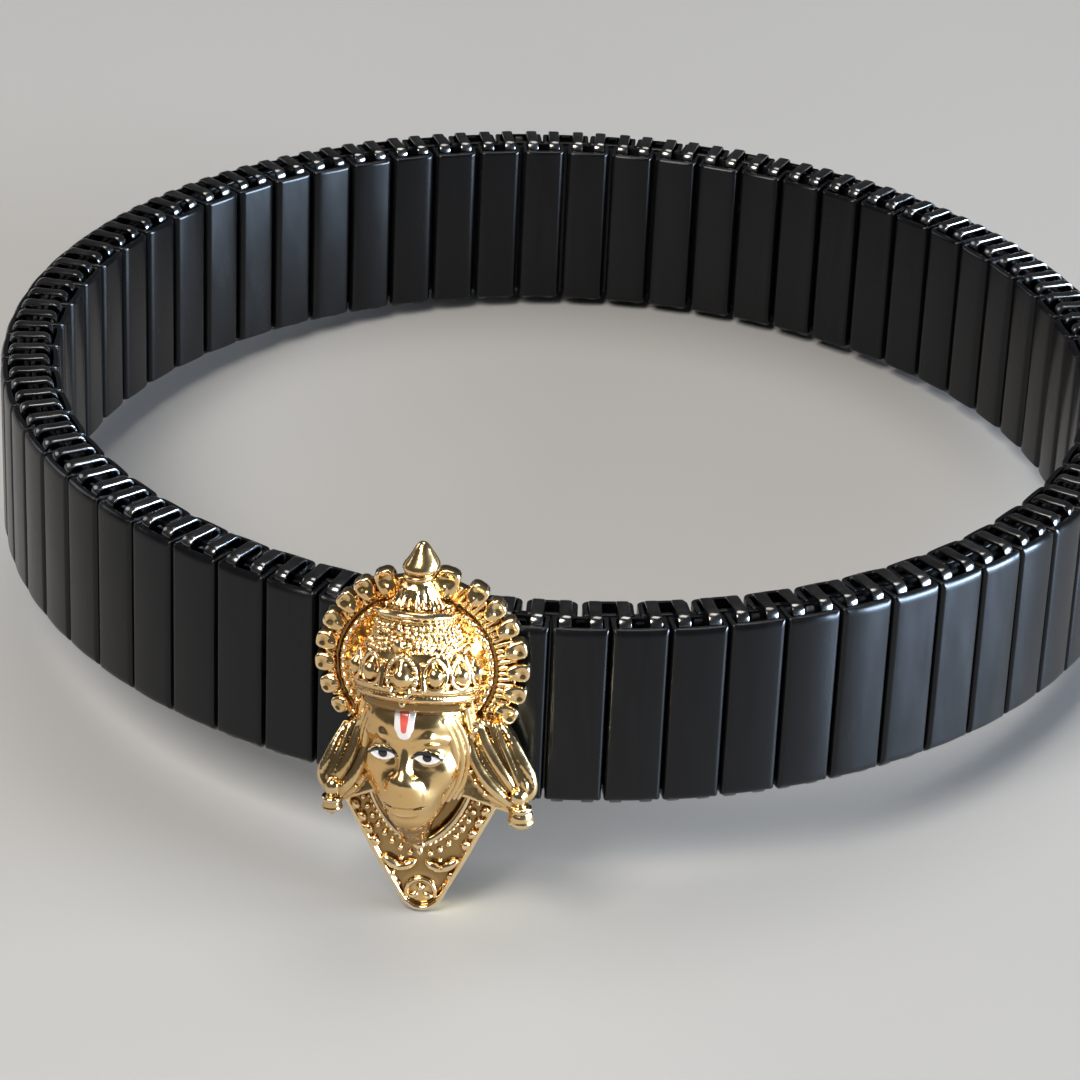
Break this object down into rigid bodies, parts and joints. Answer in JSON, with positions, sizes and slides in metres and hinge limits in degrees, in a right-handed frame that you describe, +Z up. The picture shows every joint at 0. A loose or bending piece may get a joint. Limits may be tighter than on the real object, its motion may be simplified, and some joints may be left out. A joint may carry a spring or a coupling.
{
  "type": "link bracelet",
  "caption": "Black expansion link bracelet, two rows of sleeves joined by edge clips, with a small gold-plated mask charm fixed at the front.",
  "frame": {"origin": "centre of the footprint's box, on the surface that the bracelet rests on", "axes": "+Z up from that surface, -Y towards the charm at the front, X across the ring"},
  "size_m": [0.0642, 0.0706, 0.0209],
  "materials": {
    "black_link": "glossy black plated steel",
    "clip_steel": "glossy black plated steel strip",
    "gold_plate": "polished gold plating",
    "enamel_white": "glossy enamel",
    "enamel_black": "glossy enamel",
    "enamel_red": "glossy enamel"
  },
  "bodies": {
    "root": {"outer_links_01": "black_link", "outer_links_02": "black_link", "outer_links_03": "black_link", "outer_links_04": "black_link", "outer_links_05": "black_link", "outer_links_06": "black_link", "outer_links_07": "black_link", "outer_links_08": "black_link", "outer_links_09": "black_link", "outer_links_10": "black_link", "outer_links_11": "black_link", "inner_links_01": "black_link", "inner_links_02": "black_link", "inner_links_03": "black_link", "inner_links_04": "black_link", "inner_links_05": "black_link", "inner_links_06": "black_link", "inner_links_07": "black_link", "inner_links_08": "black_link", "inner_links_09": "black_link", "inner_links_10": "black_link", "inner_links_11": "black_link", "clips_01": "clip_steel", "clips_02": "clip_steel", "clips_03": "clip_steel", "clips_04": "clip_steel", "clips_05": "clip_steel", "clips_06": "clip_steel", "clips_07": "clip_steel", "clips_08": "clip_steel", "clips_09": "clip_steel", "clips_10": "clip_steel", "clips_11": "clip_steel", "mask_charm": "gold_plate"}
  },
  "joints": []
}
